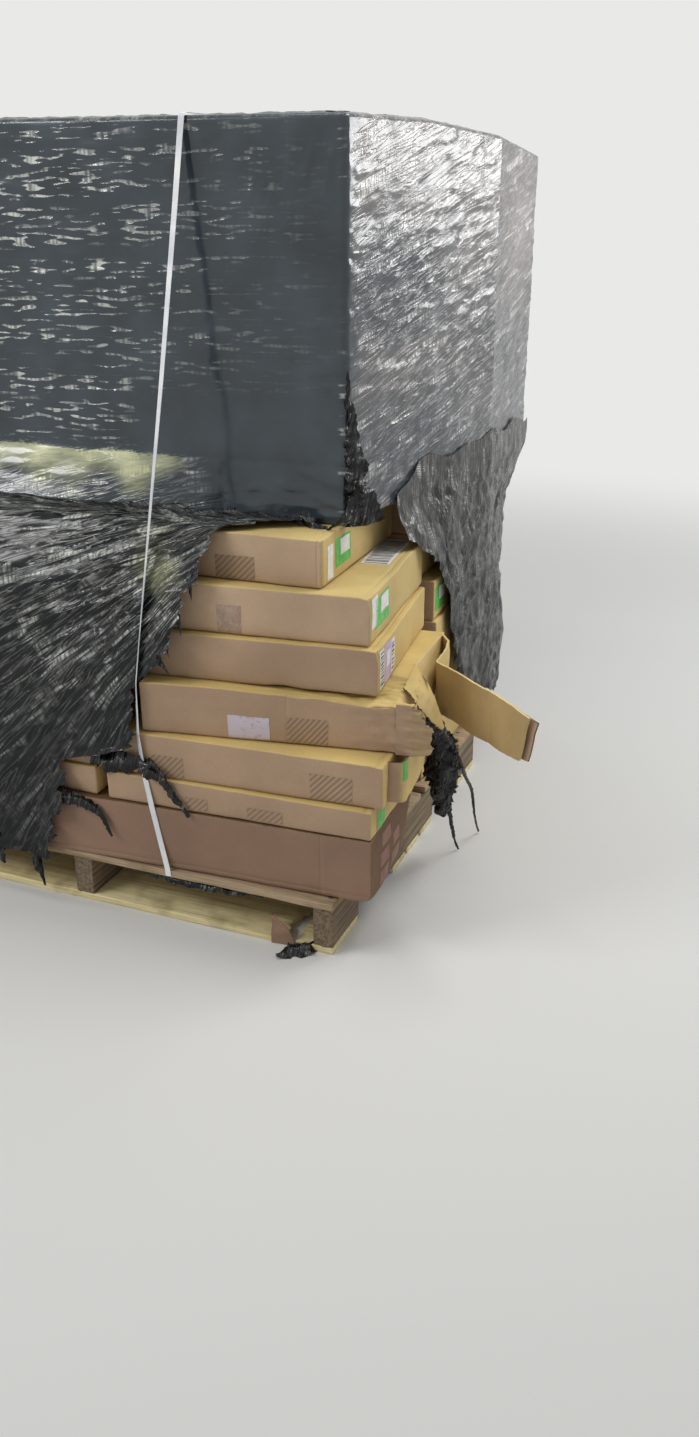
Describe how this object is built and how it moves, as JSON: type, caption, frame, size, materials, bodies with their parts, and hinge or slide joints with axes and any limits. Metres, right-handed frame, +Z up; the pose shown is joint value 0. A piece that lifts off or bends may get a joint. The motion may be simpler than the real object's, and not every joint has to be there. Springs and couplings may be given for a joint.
{
  "type": "shrink wrapped pallet load",
  "caption": "Flat cartons stacked on a wooden stringer pallet, wrapped in black stretch film torn open at one corner, with a plastic strap.",
  "frame": {"origin": "centre of the pallet's underside, on the floor", "axes": "+Z up; the torn front of the load faces -Y; +X is to the right seen from the front"},
  "size_m": [1.5783, 1.3463, 1.6223],
  "materials": {
    "pallet_wood": "rough sawn softwood",
    "carton_board": "kraft corrugated board",
    "stretch_film": "black stretch film, wrinkled",
    "strap": "white polypropylene strapping"
  },
  "bodies": {
    "root": {"stringer_left": "pallet_wood", "stringer_middle": "pallet_wood", "stringer_right": "pallet_wood", "top_board_1": "pallet_wood", "top_board_2": "pallet_wood", "top_board_3": "pallet_wood", "top_board_4": "pallet_wood", "top_board_5": "pallet_wood", "top_board_6": "pallet_wood", "top_board_7": "pallet_wood", "bottom_board_1": "pallet_wood", "bottom_board_2": "pallet_wood", "bottom_board_3": "pallet_wood", "bottom_board_4": "pallet_wood", "bottom_board_5": "pallet_wood", "bottom_board_stub": "pallet_wood", "carton_base": "carton_board", "carton_thin": "carton_board", "carton_third": "carton_board", "carton_crushed": "carton_board", "carton_fifth": "carton_board", "carton_sixth": "carton_board", "carton_seventh": "carton_board", "lower_layer_1": "carton_board", "lower_layer_2": "carton_board", "lower_layer_3": "carton_board", "lower_layer_4": "carton_board", "lower_layer_5": "carton_board", "lower_layer_6": "carton_board", "lower_layer_7": "carton_board", "upper_layer_1": "carton_board", "upper_layer_2": "carton_board", "upper_layer_3": "carton_board", "upper_layer_4": "carton_board", "torn_card": "carton_board", "film_upper": "stretch_film", "film_skirt": "stretch_film", "film_left_side": "stretch_film", "film_back": "stretch_film", "film_curtain": "stretch_film", "strap": "strap"}
  },
  "joints": []
}
